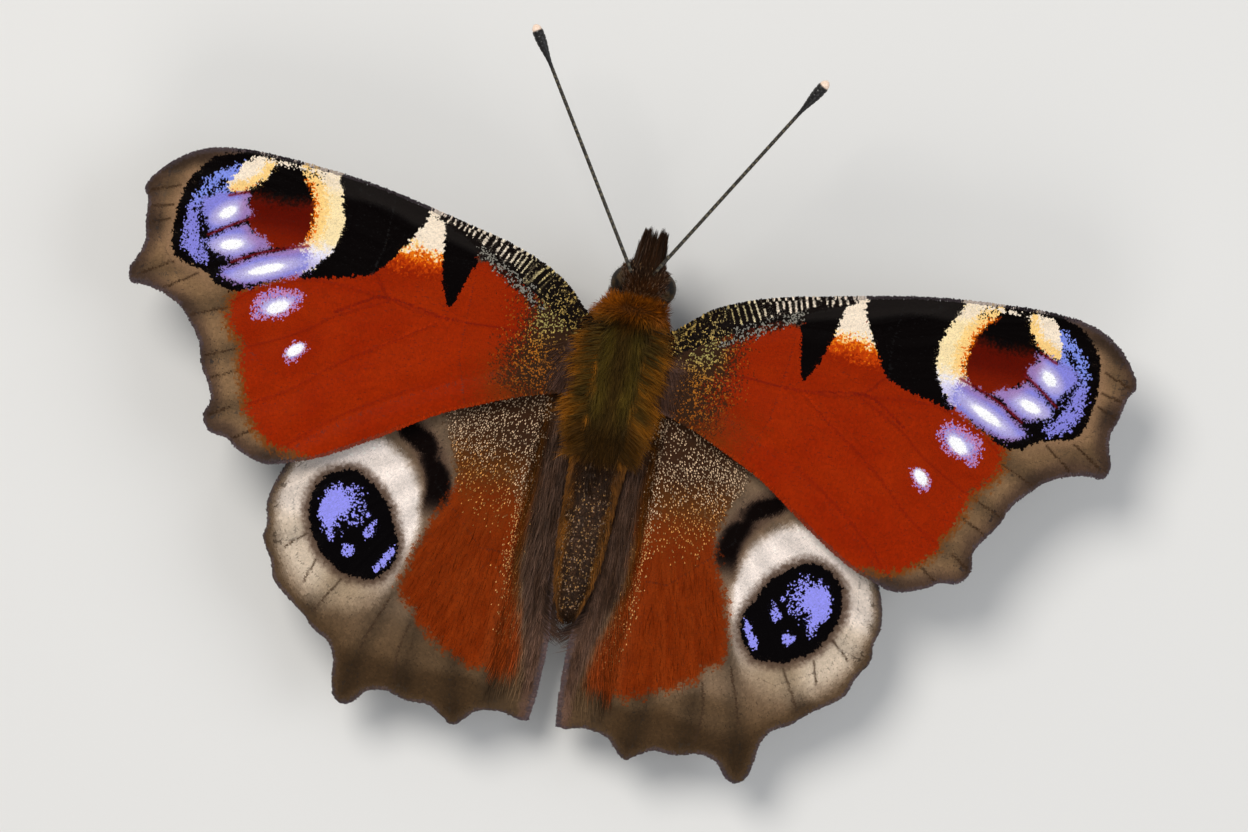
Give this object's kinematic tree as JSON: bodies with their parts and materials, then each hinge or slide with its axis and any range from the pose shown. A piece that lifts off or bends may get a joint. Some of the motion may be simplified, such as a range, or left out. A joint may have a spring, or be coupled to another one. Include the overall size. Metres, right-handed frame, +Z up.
{
  "type": "peacock butterfly",
  "caption": "Life-size still model of a peacock butterfly standing with its four eye-spotted wings spread flat.",
  "frame": {"origin": "middle of the whole outline, on the floor that the feet stand on", "axes": "+Y forward towards the feelers, +X towards the animal's right wing tip, +Z up"},
  "size_m": [0.0644, 0.0448, 0.0126],
  "materials": {
    "forewing": "velvety scales",
    "hindwing": "velvety scales",
    "fur": "fine hair",
    "abdomen": "short hair and scales",
    "head": "short bristly hair",
    "eye": "faceted gloss",
    "palp": "bristly scales",
    "antenna": "ringed scales",
    "leg": "scaled",
    "proboscis": "horny"
  },
  "bodies": {
    "root": {"thorax": "fur", "abdomen": "abdomen", "head": "head", "eye_left": "eye", "eye_right": "eye", "palp_left": "palp", "palp_right": "palp", "proboscis": "proboscis", "antenna_left": "antenna", "antenna_right": "antenna", "forewing_left": "forewing", "forewing_right": "forewing", "hindwing_left": "hindwing", "hindwing_right": "hindwing", "foreleg_left": "leg", "foreleg_right": "leg", "midleg_left": "leg", "midleg_right": "leg", "hindleg_left": "leg", "hindleg_right": "leg"}
  },
  "joints": []
}
